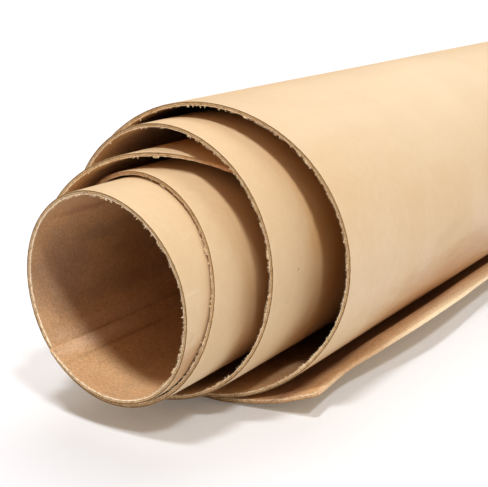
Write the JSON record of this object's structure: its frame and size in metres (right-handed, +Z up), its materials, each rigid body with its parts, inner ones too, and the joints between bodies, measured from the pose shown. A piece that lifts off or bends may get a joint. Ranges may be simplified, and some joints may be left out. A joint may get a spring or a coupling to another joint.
{
  "type": "rolled double shoulder leather",
  "caption": "One sheet of natural vegetable-tanned shoulder leather, wound into a loose hollow roll whose turns telescope, with its outer end rising a little off the floor as a short flap.",
  "frame": {"origin": "on the surface it lies on, under the middle of the roll's box", "axes": "+Z up; +Y along the roll, from the telescoped near end to the far end; +X to the side on which the outer end stands out as a flap"},
  "size_m": [0.1358, 0.802, 0.132],
  "materials": {
    "leather": "natural undyed vegetable-tanned leather: smooth matt tan grain side, darker brushed flesh side, fibrous cut edges"
  },
  "bodies": {
    "root": {"hide": "leather"}
  },
  "joints": []
}
